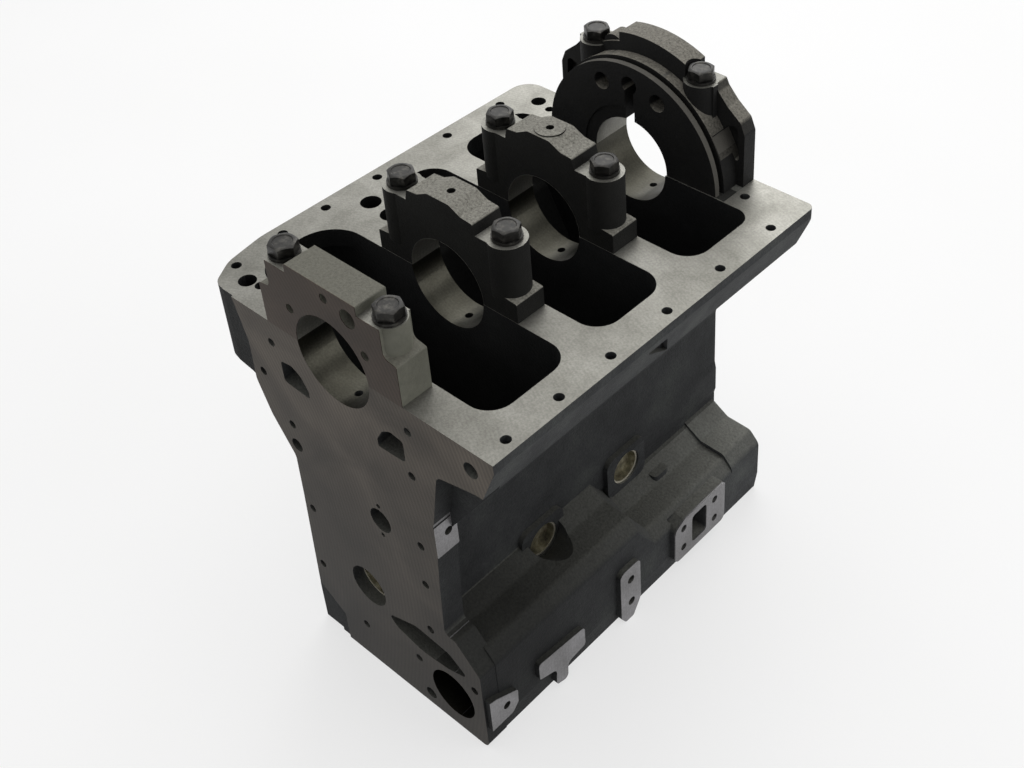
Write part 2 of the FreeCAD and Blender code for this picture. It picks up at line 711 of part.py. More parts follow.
def cup_plug(radius, depth):
    """Pressed cup, open towards -Z, its closed end at the origin side."""
    outer = radius - plug_clearance
    cup = Part.makeCylinder(outer, depth)
    hollow = Part.makeCylinder(outer - plug_wall, depth, V(0, 0, plug_wall))
    return cup.cut(hollow)


def side_plug(side, station):
    cup = cup_plug(plug_radius, plug_depth)
    cup.rotate(V(0, 0, 0), V(0, 1, 0), 90 * side)
    cup.translate(V(side * (jacket_half_width + 4.0 - plug_depth), at(station), side_plug_z))
    return cup


def front_plug():
    cup = cup_plug(front_plug_radius, plug_depth)
    cup.rotate(V(0, 0, 0), V(1, 0, 0), 90)
    cup.translate(V(front_plug_x, at(10.0 + plug_depth), front_plug_z))
    return cup


parts = {"cylinder_block": cylinder_block()}
parts["front_main_cap"] = front_cap()
parts["centre_front_main_cap"] = centre_cap(main_stations["centre_front"])
parts["centre_rear_main_cap"] = centre_rear_cap(main_stations["centre_rear"])
parts["rear_main_cap"] = rear_cap()
for place, station in main_stations.items():
    seat = rear_seat_z if place == "rear" else cap_seat_z
    for side_name, side in (("left", -1), ("right", 1)):
        parts[f"{place}_{side_name}_cap_bolt"] = hex_bolt(side * bolt_x, station, seat)
        parts[f"{place}_{side_name}_cap_washer"] = washer(side * bolt_x, station, seat)
for place, station in zip(("front", "rear"), side_plug_stations):
    parts[f"right_{place}_core_plug"] = side_plug(1, station)
    parts[f"left_{place}_core_plug"] = side_plug(-1, station)
parts["timing_end_core_plug"] = front_plug()

os.makedirs("parts", exist_ok=True)
for name, shape in parts.items():
    shape.exportStep(f"parts/{name}.step")
    print(name, shape.isValid(), len(shape.Solids), round(shape.Volume / 1000, 1))
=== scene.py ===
import math

import bpy
from mathutils import Matrix, Vector


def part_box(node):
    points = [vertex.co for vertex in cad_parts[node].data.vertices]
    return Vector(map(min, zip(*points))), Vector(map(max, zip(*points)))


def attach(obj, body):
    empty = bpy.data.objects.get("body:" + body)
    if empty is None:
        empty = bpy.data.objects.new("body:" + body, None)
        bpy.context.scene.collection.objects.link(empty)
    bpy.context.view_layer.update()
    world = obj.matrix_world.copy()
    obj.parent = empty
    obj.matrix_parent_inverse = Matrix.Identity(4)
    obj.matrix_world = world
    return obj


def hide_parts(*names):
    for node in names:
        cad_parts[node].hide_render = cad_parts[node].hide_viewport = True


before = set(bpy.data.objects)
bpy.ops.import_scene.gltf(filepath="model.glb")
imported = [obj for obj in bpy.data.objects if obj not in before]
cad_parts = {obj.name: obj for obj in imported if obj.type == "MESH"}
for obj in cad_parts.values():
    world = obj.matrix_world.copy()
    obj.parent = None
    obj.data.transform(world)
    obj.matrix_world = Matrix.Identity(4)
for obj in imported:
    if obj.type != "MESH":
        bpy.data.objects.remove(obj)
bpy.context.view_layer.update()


# ---- Cylinder block casting -------------------------------------------------------------------
# One grey iron casting, poured in sand moulds and left dark with scale. Its joint faces, pads and
# bores are milled or bored bright afterwards. It stands on the face that carries the cylinder head.

block_low, block_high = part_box("cylinder_block")
rail_z = block_high[2]                # sump rail, and the crankshaft axis
front_y = block_low[1]                # timing face
rear_y = block_high[1]
skin = 0.0004                         # depth of a machined surface, for its mask
main_bore_radius = 0.03704
cam_bore_radius = 0.0229
cam_x = 0.0783
cam_z = 0.0372
cylinder_radius = 0.04575
cylinder_pitch = 0.102
chest_pad_x = 0.118
bracket_pad_x = 0.084
bracket_pad_length = 0.0215
pad_top_z = 0.07
chest_top_z = 0.112
chest_root_x = 0.0625
crankcase_floor = 0.1645
shoulder_z = 0.184                    # where the crankcase widens from the jacket
skirt_edge_z = 0.293
left_knee_z = 0.265
knee_thickness = 0.0022               # the knee's inner face lies this much above it
rail_edge_low = skirt_edge_z - 0.006  # the drafted edge of the rail
rail_edge_high = skirt_edge_z + 0.004
jacket_inner_x = 0.056                # inner walls of the crank bays, from the bottom up
left_knee_inner_x = 0.099
bay_inner_x = 0.1325
end_wall = 0.0215
facing_limit = 0.7                    # cosine above which a surface faces an axis
crosswise_limit = 0.5                 # cosine below which it lies along that axis
bore_polish = 0.7                     # how much smoother a bore is than a milled face


def linear(code):
    """Linear colour of an sRGB hex code such as #80a0c0."""
    parts = [int(code[i:i + 2], 16) / 255 for i in (1, 3, 5)]
    return tuple(c / 12.92 if c <= 0.04045 else ((c + 0.055) / 1.055) ** 2.4 for c in parts) + (1.0,)


def add(tree, kind, settings=None, links=None):
    """Add a node. Settings are its own values, its ramp's stops or its inputs; links feed its inputs."""
    node = tree.nodes.new(kind)
    for key, value in (settings or {}).items():
        if key == "stops":
            elements = node.color_ramp.elements
            for element, (position, code) in zip(elements, (value[0], value[-1])):
                element.position, element.color = position, linear(code)
            for position, code in value[1:-1]:
                elements.new(position).color = linear(code)
        elif isinstance(key, str) and hasattr(node, key):
            setattr(node, key, value)
        else:
            is_code = isinstance(value, str) and value.startswith("#")
            node.inputs[key].default_value = linear(value) if is_code else value
    for key, source in (links or {}).items():
        tree.links.new(source, node.inputs[key])
    return node


def new_material(name):
    """Empty node material, and its tree."""
    material = bpy.data.materials.new(name)
    material.use_nodes = True
    material.node_tree.nodes.clear()
    return material, material.node_tree


def dress(node_name, material):
    """Give a solid from the frame its material."""
    piece = bpy.data.objects[node_name]
    for slot in piece.material_slots:
        slot.material = material
    if not piece.material_slots:
        piece.data.materials.append(material)


def sand_cast_iron(tree, place, at, normal):
    """Colour and height of the raw casting: charcoal scale, dusty on what faces up.

    The sand's grit is 0.5 mm; it is drawn at about 2 mm, because finer doesn't show.
    """
    cloud = add(tree, "ShaderNodeTexNoise", {"Scale": 22.0, "Detail": 5.0, "Roughness": 0.6},
                {"Vector": place})
    tone = add(tree, "ShaderNodeValToRGB", {"stops": [(0.3, "#222324"), (0.5, "#303132"), (0.72, "#3e403f")]},
               {"Fac": cloud.outputs["Fac"]})
    up = add(tree, "ShaderNodeSeparateXYZ", links={"Vector": normal})
    dusty = add(tree, "ShaderNodeMapRange", {"From Min": 0.2, "From Max": 1.0, "To Max": 0.6},
                {"Value": up.outputs["Z"]})
    dust = add(tree, "ShaderNodeMix", {"data_type": "RGBA", 7: "#62625c"},
               {"Factor": dusty.outputs["Result"], 6: tone.outputs["Color"]})
    grit = add(tree, "ShaderNodeTexNoise", {"Scale": 480.0, "Detail": 3.0, "Roughness": 0.7},
               {"Vector": place})
    speck = add(tree, "ShaderNodeMapRange",
                {"From Min": 0.3, "From Max": 0.7, "To Min": 0.72, "To Max": 1.22},
                {"Value": grit.outputs["Fac"]})
    # painted light above the drafted rail edge, and on the chest painted shade at the timing end that turns
    # to painted light at the flywheel end
    rail_edge_light = add(tree, "ShaderNodeMapRange",
                    {"From Min": rail_edge_low, "From Max": rail_edge_high, "To Min": 1.0, "To Max": 1.6},
                    {"Value": at.outputs["Z"]})
    rear_lamp_ramp = add(tree, "ShaderNodeMapRange",
                   {"From Min": -0.11, "From Max": 0.13, "To Min": 0.42, "To Max": 2.0},
                   {"Value": at.outputs["Y"]})
    low = add(tree, "ShaderNodeMath", {"operation": "LESS_THAN", 1: chest_top_z}, {0: at.outputs["Z"]})
    right = add(tree, "ShaderNodeMath", {"operation": "GREATER_THAN", 1: chest_root_x}, {0: at.outputs["X"]})
    on_chest = add(tree, "ShaderNodeMath", {"operation": "MULTIPLY"},
                   {0: low.outputs[0], 1: right.outputs[0]})
    chest = add(tree, "ShaderNodeMix", {"data_type": "FLOAT", 2: 1.0},
                {0: on_chest.outputs[0], 3: rear_lamp_ramp.outputs[0]})
    # the left flank is drawn darker
    leftward_dark = add(tree, "ShaderNodeMapRange",
                 {"From Min": -0.12, "From Max": -0.06, "To Min": 0.35, "To Max": 1.0},
                 {"Value": at.outputs["X"]})
    shade = add(tree, "ShaderNodeMath", {"operation": "MULTIPLY"},
                {0: rail_edge_light.outputs[0], 1: chest.outputs[0]})
    shade = add(tree, "ShaderNodeMath", {"operation": "MULTIPLY"},
                {0: shade.outputs[0], 1: leftward_dark.outputs[0]})
    shade = add(tree, "ShaderNodeMath", {"operation": "MULTIPLY"}, {0: shade.outputs[0], 1: speck.outputs[0]})
    colour = add(tree, "ShaderNodeVectorMath", {"operation": "SCALE"},
                 {0: dust.outputs[2], "Scale": shade.outputs[0]})
    swell = add(tree, "ShaderNodeTexNoise", {"Scale": 60.0, "Detail": 2.0}, {"Vector": place})
    height = add(tree, "ShaderNodeMath", {"operation": "MULTIPLY_ADD", 1: 0.45},
                 {0: swell.outputs["Fac"], 2: grit.outputs["Fac"]})
    return colour.outputs["Vector"], height.outputs["Value"]


def machined_masks(tree, at, normal):
    """Where the block is machined: sump rail, timing face, pads and bores, each 1 or 0."""
    facing = add(tree, "ShaderNodeSeparateXYZ", links={"Vector": normal})
    rail = add(tree, "ShaderNodeMath", {"operation": "GREATER_THAN", 1: rail_z - skin}, {0: at.outputs["Z"]})
    upward = add(tree, "ShaderNodeMath", {"operation": "GREATER_THAN", 1: facing_limit},
                 {0: facing.outputs["Z"]})
    rail = add(tree, "ShaderNodeMath", {"operation": "MULTIPLY"}, {0: rail.outputs[0], 1: upward.outputs[0]})
    face = add(tree, "ShaderNodeMath", {"operation": "LESS_THAN", 1: front_y + skin}, {0: at.outputs["Y"]})
    ahead = add(tree, "ShaderNodeMath", {"operation": "LESS_THAN", 1: -facing_limit},
                {0: facing.outputs["Y"]})
    face = add(tree, "ShaderNodeMath", {"operation": "MULTIPLY"}, {0: face.outputs[0], 1: ahead.outputs[0]})
    proud = add(tree, "ShaderNodeMath", {"operation": "GREATER_THAN", 1: chest_pad_x - skin},
                {0: at.outputs["X"]})
    below = add(tree, "ShaderNodeMath", {"operation": "LESS_THAN", 1: pad_top_z}, {0: at.outputs["Z"]})
    side = add(tree, "ShaderNodeMath", {"operation": "MULTIPLY"}, {0: proud.outputs[0], 1: below.outputs[0]})
    bracket = add(tree, "ShaderNodeMath", {"operation": "COMPARE", 1: bracket_pad_x, 2: skin},
                  {0: at.outputs["X"]})
    forward = add(tree, "ShaderNodeMath", {"operation": "LESS_THAN", 1: front_y + bracket_pad_length},
                  {0: at.outputs["Y"]})
    bracket = add(tree, "ShaderNodeMath", {"operation": "MULTIPLY"},
                  {0: bracket.outputs[0], 1: forward.outputs[0]})
    pads = add(tree, "ShaderNodeMath", {"operation": "MAXIMUM"}, {0: side.outputs[0], 1: bracket.outputs[0]})
    # a bore is what lies on a cylinder round its axis, and the barrels end at the crankcase floor
    along = add(tree, "ShaderNodeMath", {"operation": "WRAP", 1: cylinder_pitch / 2, 2: -cylinder_pitch / 2},
                {0: at.outputs["Y"]})
    among = add(tree, "ShaderNodeMath", {"operation": "COMPARE", 1: 0.0, 2: 1.5 * cylinder_pitch},
                {0: at.outputs["Y"]})
    deep = add(tree, "ShaderNodeMath", {"operation": "LESS_THAN", 1: crankcase_floor}, {0: at.outputs["Z"]})
    barrel = add(tree, "ShaderNodeMath", {"operation": "MULTIPLY"}, {0: among.outputs[0], 1: deep.outputs[0]})
    lengthwise = add(tree, "ShaderNodeMath", {"operation": "ABSOLUTE"}, {0: facing.outputs["Y"]})
    round_wall = add(tree, "ShaderNodeMath", {"operation": "LESS_THAN", 1: crosswise_limit},
                     {0: lengthwise.outputs[0]})
    bored = None
    for first, second, centre, radius, limit in (
        (at.outputs["X"], at.outputs["Z"], (0.0, rail_z, 0.0), main_bore_radius, round_wall.outputs[0]),
        (at.outputs["X"], at.outputs["Z"], (cam_x, cam_z, 0.0), cam_bore_radius, round_wall.outputs[0]),
        (at.outputs["X"], along.outputs[0], (0.0, 0.0, 0.0), cylinder_radius, barrel.outputs[0]),
    ):
        across = add(tree, "ShaderNodeCombineXYZ", links={"X": first, "Y": second})
        reach = add(tree, "ShaderNodeVectorMath", {"operation": "DISTANCE", 1: centre},
                    {0: across.outputs[0]})
        within = add(tree, "ShaderNodeMath", {"operation": "LESS_THAN", 1: radius + skin},
                     {0: reach.outputs["Value"]})
        within = add(tree, "ShaderNodeMath", {"operation": "MULTIPLY"}, {0: within.outputs[0], 1: limit})
        if bored:
            within = add(tree, "ShaderNodeMath", {"operation": "MAXIMUM"}, {0: bored, 1: within.outputs[0]})
        bored = within.outputs[0]
    return rail.outputs[0], face.outputs[0], pads.outputs[0], bored


def bay_shade_mask(tree, at):
    """1 on the inner walls and floor of the crank bays, which are painted black as shade."""
    low_left = add(tree, "ShaderNodeMapRange",
                   {"From Min": shoulder_z, "From Max": left_knee_z, "To Min": jacket_inner_x,
                    "To Max": left_knee_inner_x}, {"Value": at.outputs["Z"]})
    upright = add(tree, "ShaderNodeMath", {"operation": "GREATER_THAN", 1: left_knee_z + knee_thickness},
                  {0: at.outputs["Z"]})
    left_limit = add(tree, "ShaderNodeMath",
                     {"operation": "MULTIPLY_ADD", 1: bay_inner_x - left_knee_inner_x},
                     {0: upright.outputs[0], 2: low_left.outputs[0]})
    right_limit = add(tree, "ShaderNodeMapRange",
                      {"From Min": shoulder_z, "From Max": skirt_edge_z, "To Min": jacket_inner_x,
                       "To Max": bay_inner_x}, {"Value": at.outputs["Z"]})
    mirror = add(tree, "ShaderNodeMath", {"operation": "MULTIPLY", 1: -1.0}, {0: at.outputs["X"]})
    left = add(tree, "ShaderNodeMath", {"operation": "LESS_THAN"},
               {0: mirror.outputs[0], 1: left_limit.outputs[0]})
    right = add(tree, "ShaderNodeMath", {"operation": "LESS_THAN"},
                {0: at.outputs["X"], 1: right_limit.outputs[0]})
    middle = (front_y + rear_y) / 2
    between = add(tree, "ShaderNodeMath",
                  {"operation": "COMPARE", 1: middle, 2: (rear_y - front_y) / 2 - end_wall},
                  {0: at.outputs["Y"]})
    high = add(tree, "ShaderNodeMath", {"operation": "GREATER_THAN", 1: crankcase_floor},
               {0: at.outputs["Z"]})
    mask = left
    for other in (right, between, high):
        mask = add(tree, "ShaderNodeMath", {"operation": "MULTIPLY"},
                   {0: mask.outputs[0], 1: other.outputs[0]})
    return mask.outputs[0]


def machined_iron(tree, place):
    """Colour of a milled joint face: warm light grey, oil blotches, graphite flecks and cutter arcs.

    The cutter's feed marks are 1.5 mm apart; the flecks are 0.3 mm, drawn at 1.5 mm so that they show.
    """
    blotch = add(tree, "ShaderNodeTexNoise",
                 {"Scale": 26.0, "Detail": 4.0, "Roughness": 0.55, "Distortion": 0.6},
                 {"Vector": place})
    tone = add(tree, "ShaderNodeValToRGB",
               {"stops": [(0.28, "#6b6a64"), (0.5, "#797872"), (0.75, "#878680")]},
               {"Fac": blotch.outputs["Fac"]})
    fleck = add(tree, "ShaderNodeTexNoise", {"Scale": 700.0, "Detail": 2.0}, {"Vector": place})
    flecks = add(tree, "ShaderNodeMapRange",
                 {"From Min": 0.35, "From Max": 0.65, "To Min": 0.86, "To Max": 1.08},
                 {"Value": fleck.outputs["Fac"]})
    centred = add(tree, "ShaderNodeMapping", {"Location": (0.0, 0.35, 0.0)}, {"Vector": place})
    arcs = add(tree, "ShaderNodeTexWave", {"wave_type": "RINGS", "rings_direction": "Z", "Scale": 105.0,
                                           "Distortion": 0.6, "Detail": 1.0}, {"Vector": centred.outputs[0]})
    arc = add(tree, "ShaderNodeMapRange", {"To Min": 0.965, "To Max": 1.02}, {"Value": arcs.outputs["Fac"]})
    both = add(tree, "ShaderNodeMath", {"operation": "MULTIPLY"}, {0: flecks.outputs[0], 1: arc.outputs[0]})
    colour = add(tree, "ShaderNodeVectorMath", {"operation": "SCALE"},
                 {0: tone.outputs["Color"], "Scale": both.outputs[0]})
    return colour.outputs["Vector"], fleck.outputs["Fac"]


def milled_front(tree, place, at):
    """Colour of the timing face: brown-grey, darker than the rail partly as painted shade since it faces away
    from the lamps, darker downwards, with curved feed lines 2 mm apart.
    """
    blotch = add(tree, "ShaderNodeTexNoise", {"Scale": 14.0, "Detail": 4.0, "Distortion": 0.8},
                 {"Vector": place})
    tone = add(tree, "ShaderNodeValToRGB", {"stops": [(0.3, "#3b3630"), (0.5, "#48423b"), (0.74, "#575048")]},
               {"Fac": blotch.outputs["Fac"]})
    swung = add(tree, "ShaderNodeMapping", {"Location": (0.42, 0.0, -0.12)}, {"Vector": place})
    lines = add(tree, "ShaderNodeTexWave", {"wave_type": "RINGS", "rings_direction": "Y", "Scale": 78.0,
                                            "Distortion": 0.8, "Detail": 2.0, "Detail Scale": 2.0},
                {"Vector": swung.outputs[0]})
    line = add(tree, "ShaderNodeMapRange", {"To Min": 0.8, "To Max": 1.12}, {"Value": lines.outputs["Fac"]})
    darker = add(tree, "ShaderNodeMapRange",
                 {"From Min": 0.03, "From Max": 0.3, "To Min": 0.34, "To Max": 0.92},
                 {"Value": at.outputs["Z"]})
    both = add(tree, "ShaderNodeMath", {"operation": "MULTIPLY"}, {0: line.outputs[0], 1: darker.outputs[0]})
    colour = add(tree, "ShaderNodeVectorMath", {"operation": "SCALE"},
                 {0: tone.outputs["Color"], "Scale": both.outputs[0]})
    return colour.outputs["Vector"]


def block_iron():
    """Sand-cast grey iron: raw and matt outside, painted black inside as shade, milled and bored where it
    works.
    """
    material, tree = new_material("sand_cast_grey_iron")
    place = add(tree, "ShaderNodeTexCoord").outputs["Object"]
    normal = add(tree, "ShaderNodeNewGeometry").outputs["Normal"]
    at = add(tree, "ShaderNodeSeparateXYZ", links={"Vector": place})
    tone, raw_height = sand_cast_iron(tree, place, at, normal)
    rail, face, pads, bored = machined_masks(tree, at, normal)
    bright, fleck = machined_iron(tree, place)
    # painted light: the rail is lighter towards the flywheel end, where the rear lamp falls
    rear_lamp_light = add(tree, "ShaderNodeMapRange",
                {"From Min": front_y, "From Max": rear_y, "To Min": 0.8, "To Max": 1.3},
                {"Value": at.outputs["Y"]})
    rail_tone = add(tree, "ShaderNodeVectorMath", {"operation": "SCALE"},
                    {0: bright, "Scale": rear_lamp_light.outputs[0]})
    # painted shade: the crank bays take the raw tone at a sixth of its brightness
    bay_shade_tone = add(tree, "ShaderNodeVectorMath", {"operation": "SCALE", "Scale": 0.16}, {0: tone})
    # painted reflection: pads are lighter and cooler than the rail; painted shade: bores are darker
    pad_reflection_tone = add(tree, "ShaderNodeVectorMath", {"operation": "MULTIPLY", 1: (1.1, 1.1, 1.25)}, {0: bright})
    bore_shade_tone = add(tree, "ShaderNodeVectorMath", {"operation": "MULTIPLY", 1: (0.24, 0.235, 0.21)}, {0: bright})
    layers = (
        (bay_shade_mask(tree, at), bay_shade_tone.outputs[0]), (bored, bore_shade_tone.outputs[0]), (pads, pad_reflection_tone.outputs[0]),
        (face, milled_front(tree, place, at)), (rail, rail_tone.outputs[0]),
    )
    for mask, colour in layers:
        tone = add(tree, "ShaderNodeMix", {"data_type": "RGBA"},
                   {"Factor": mask, 6: tone, 7: colour}).outputs[2]
    worked = rail
    for mask in (face, pads, bored):
        worked = add(tree, "ShaderNodeMath", {"operation": "MAXIMUM"}, {0: worked, 1: mask}).outputs[0]
    # 0 is raw, 1 is milled and a little more is bored, which is the smoothest
    gloss = add(tree, "ShaderNodeMath", {"operation": "MULTIPLY_ADD", 1: bore_polish}, {0: bored, 2: worked})
    rough = add(tree, "ShaderNodeMapRange", {"From Max": 1 + bore_polish, "To Min": 0.75, "To Max": 0.32},
                {"Value": gloss.outputs[0]})
    relief = add(tree, "ShaderNodeMix", {"data_type": "FLOAT"}, {0: worked, 2: raw_height, 3: fleck})
    depth = add(tree, "ShaderNodeMapRange", {"To Min": 0.55, "To Max": 0.08}, {"Value": worked})
    bump = add(tree, "ShaderNodeBump", {"Distance": 0.0012},
               {"Height": relief.outputs[0], "Strength": depth.outputs[0]})
    shader = add(tree, "ShaderNodeBsdfPrincipled", {"Specular IOR Level": 0.2},
                 {"Base Color": tone, "Roughness": rough.outputs[0], "Metallic": worked,
                  "Normal": bump.outputs[0]})
    add(tree, "ShaderNodeOutputMaterial", links={"Surface": shader.outputs[0]})
    return material


dress("cylinder_block", block_iron())


# ---- Core plugs -------------------------------------------------------------------------------
# Pressed steel cups with a thin yellow zinc plating, driven open side outwards into the jacket
# walls and the timing face. The rim is rubbed bright and also painted with a highlight, and the hollow holds
# dirt.

plug_rim_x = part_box("right_front_core_plug")[1][0]
plug_rim_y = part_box("timing_end_core_plug")[0][1]
plug_names = ["right_front_core_plug", "right_rear_core_plug", "left_front_core_plug", "left_rear_core_plug",
              "timing_end_core_plug"]


def plated_cup():
    """Yellow-passivated zinc: a dull brassy sheen, browner in the hollow, and a pale rim that is rubbed and
    painted as a highlight.
    """
    material, tree = new_material("yellow_zinc_plated_steel")
    place = add(tree, "ShaderNodeTexCoord").outputs["Object"]
    at = add(tree, "ShaderNodeSeparateXYZ", links={"Vector": place})
    cloud = add(tree, "ShaderNodeTexNoise", {"Scale": 110.0, "Detail": 5.0, "Roughness": 0.7},
                {"Vector": place})
    tone = add(tree, "ShaderNodeValToRGB", {"stops": [(0.3, "#45413a"), (0.5, "#85806c"), (0.72, "#c4bfa9")]},
               {"Fac": cloud.outputs["Fac"]})
    outward = add(tree, "ShaderNodeMath", {"operation": "ABSOLUTE"}, {0: at.outputs["X"]})
    side_rim = add(tree, "ShaderNodeMath", {"operation": "COMPARE", 1: plug_rim_x, 2: skin},
                   {0: outward.outputs[0]})
    end_rim = add(tree, "ShaderNodeMath", {"operation": "COMPARE", 1: plug_rim_y, 2: skin},
                  {0: at.outputs["Y"]})
    rim = add(tree, "ShaderNodeMath", {"operation": "MAXIMUM"},
              {0: side_rim.outputs[0], 1: end_rim.outputs[0]})
    # the rim is drawn pale, part wear and part painted highlight
    rim_wear_highlight = add(tree, "ShaderNodeMix", {"data_type": "RGBA", 7: "#dcd6c6"},
               {"Factor": rim.outputs[0], 6: tone.outputs[0]})
    rough = add(tree, "ShaderNodeMapRange", {"To Min": 0.55, "To Max": 0.3}, {"Value": cloud.outputs["Fac"]})
    bump = add(tree, "ShaderNodeBump", {"Distance": 0.0004, "Strength": 0.25},
               {"Height": cloud.outputs["Fac"]})
    shader = add(tree, "ShaderNodeBsdfPrincipled", {"Metallic": 0.6},
                 {"Base Color": rim_wear_highlight.outputs[2], "Roughness": rough.outputs[0], "Normal": bump.outputs[0]})
    add(tree, "ShaderNodeOutputMaterial", links={"Surface": shader.outputs[0]})
    return material


cup_metal = plated_cup()
for plug_name in plug_names:
    dress(plug_name, cup_metal)


# ---- Main bearing caps ------------------------------------------------------------------------
# Four iron caps that close the crankshaft bore. Each is sand-cast, milled on its joint, its bolt
# seats and its two faces, and bored together with the block. The rear one carries the oil seal.

cap_places = ["front", "centre_front", "centre_rear", "rear"]
seat_z = {place_name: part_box(f"{place_name}_left_cap_washer")[0][2] for place_name in cap_places}
disc_edge = 0.0865                    # machined front disc of the rear cap
disc_edge_band = 0.0008


def cap_iron(name, place_name, crown_codes, side_codes):
    """Cap casting: sides in the given tones, painted near black as shade on the centre and rear caps, a pale
    gritty crown, worked bolt seats and bore.
    """
    material, tree = new_material(name)
    place = add(tree, "ShaderNodeTexCoord").outputs["Object"]
    normal = add(tree, "ShaderNodeNewGeometry").outputs["Normal"]
    at = add(tree, "ShaderNodeSeparateXYZ", links={"Vector": place})
    facing = add(tree, "ShaderNodeSeparateXYZ", links={"Vector": normal})
    cloud = add(tree, "ShaderNodeTexNoise", {"Scale": 40.0, "Detail": 5.0, "Roughness": 0.65},
                {"Vector": place})
    sides = add(tree, "ShaderNodeValToRGB", {"stops": [(0.3, side_codes[0]), (0.75, side_codes[1])]},
                {"Fac": cloud.outputs["Fac"]})
    # the grit is 0.5 mm, drawn at 2 mm so that it shows
    grain = add(tree, "ShaderNodeTexNoise", {"Scale": 520.0, "Detail": 4.0, "Roughness": 0.75},
                {"Vector": place})
    crown = add(tree, "ShaderNodeValToRGB",
                {"stops": [(0.32, crown_codes[0]), (0.48, crown_codes[1]), (0.8, crown_codes[2])]},
                {"Fac": grain.outputs["Fac"]})
    upward = add(tree, "ShaderNodeMapRange", {"From Min": 0.35, "From Max": 0.75},
                 {"Value": facing.outputs["Z"]})
    tone = add(tree, "ShaderNodeMix", {"data_type": "RGBA"},
               {"Factor": upward.outputs[0], 6: sides.outputs[0], 7: crown.outputs[0]}).outputs[2]
    level = add(tree, "ShaderNodeMath", {"operation": "COMPARE", 1: seat_z[place_name], 2: skin},
                {0: at.outputs["Z"]})
    flat = add(tree, "ShaderNodeMath", {"operation": "GREATER_THAN", 1: facing_limit},
               {0: facing.outputs["Z"]})
    seat = add(tree, "ShaderNodeMath", {"operation": "MULTIPLY"}, {0: level.outputs[0], 1: flat.outputs[0]})
    across = add(tree, "ShaderNodeCombineXYZ", links={"X": at.outputs["X"], "Y": at.outputs["Z"]})
    reach = add(tree, "ShaderNodeVectorMath", {"operation": "DISTANCE", 1: (0.0, rail_z, 0.0)},
                {0: across.outputs[0]})
    bore = add(tree, "ShaderNodeMath", {"operation": "LESS_THAN", 1: main_bore_radius + skin},
               {0: reach.outputs["Value"]})
    worked = add(tree, "ShaderNodeMath", {"operation": "MAXIMUM"}, {0: seat.outputs[0], 1: bore.outputs[0]})
    worked = worked.outputs[0]
    tone = add(tree, "ShaderNodeMix", {"data_type": "RGBA"},
               {"Factor": worked, 6: tone, 7: machined_iron(tree, place)[0]}).outputs[2]
    if place_name == "front":
        # this face is milled with the timing face
        milled = add(tree, "ShaderNodeMath", {"operation": "LESS_THAN", 1: front_y + skin},
                     {0: at.outputs["Y"]})
        handled = add(tree, "ShaderNodeVectorMath", {"operation": "MULTIPLY", 1: (0.72, 0.62, 0.58)},
                      {0: milled_front(tree, place, at)})
        tone = add(tree, "ShaderNodeMix", {"data_type": "RGBA"},
                   {"Factor": milled.outputs[0], 6: tone, 7: handled.outputs[0]}).outputs[2]
        worked = add(tree, "ShaderNodeMath", {"operation": "MAXIMUM"},
                     {0: worked, 1: milled.outputs[0]}).outputs[0]
    if place_name == "rear":
        # painted highlight along the disc's turned edge
        rim = add(tree, "ShaderNodeMath", {"operation": "COMPARE", 1: disc_edge, 2: disc_edge_band},
                  {0: reach.outputs["Value"]})
        lengthwise = add(tree, "ShaderNodeMath", {"operation": "ABSOLUTE"}, {0: facing.outputs["Y"]})
        edgewise = add(tree, "ShaderNodeMath", {"operation": "LESS_THAN", 1: crosswise_limit},
                       {0: lengthwise.outputs[0]})
        turned = add(tree, "ShaderNodeMath", {"operation": "MULTIPLY"},
                     {0: rim.outputs[0], 1: edgewise.outputs[0]})
        tone = add(tree, "ShaderNodeMix", {"data_type": "RGBA", 7: "#55534e"},
                   {"Factor": turned.outputs[0], 6: tone}).outputs[2]
    rough = add(tree, "ShaderNodeMapRange", {"To Min": 0.7, "To Max": 0.5}, {"Value": worked})
    depth = add(tree, "ShaderNodeMapRange", {"To Min": 0.5, "To Max": 0.05}, {"Value": worked})
    bump = add(tree, "ShaderNodeBump", {"Distance": 0.001},
               {"Height": grain.outputs["Fac"], "Strength": depth.outputs[0]})
    shader = add(tree, "ShaderNodeBsdfPrincipled", {"Specular IOR Level": 0.2},
                 {"Base Color": tone, "Roughness": rough.outputs[0], "Metallic": worked,
                  "Normal": bump.outputs[0]})
    add(tree, "ShaderNodeOutputMaterial", links={"Surface": shader.outputs[0]})
    return material


dress("front_main_cap", cap_iron("milled_cap_iron", "front", ("#5c5b53", "#67665d", "#7b796f"),
                                 ("#66665c", "#85857a")))
# the centre caps' sides face into the crank bays and are painted near black as shade
centre_iron = cap_iron("sand_cast_cap_iron", "centre_front", ("#54534c", "#7b7971", "#a3a198"),
                       ("#0e0e0d", "#191917"))
dress("centre_front_main_cap", centre_iron)
dress("centre_rear_main_cap", centre_iron)
# the rear cap's sides and disc face are painted near black as shade
dress("rear_main_cap", cap_iron("seal_housing_iron", "rear", ("#4c4a44", "#706d65", "#99958b"),
                                ("#090909", "#161615")))


# ---- Cap bolts --------------------------------------------------------------------------------
# Half-inch high-tensile bolts, hot forged and oil blackened. The head is a hexagon with a turned
# chamfer and a shallow round recess on top; the shank goes down through the cap into the block.

head_flats = 0.01905
head_height = 0.008
washer_thickness = 0.0024
shank_radius = 0.00635
shank_reach = 0.040                   # below the sump rail
shank_end = rail_z - shank_reach
first_corner = math.radians(30)
corner_radius = 0.0004
chamfer_angle = math.radians(30)
chamfer_height = 0.030                # of the cone that turns the chamfer
recess_depth = 0.0006
recess_floor_radius = 0.0068
recess_rim_radius = 0.0078
turn_by_side = 17                     # degrees of each head, told apart by side and by place
turn_by_place = 260


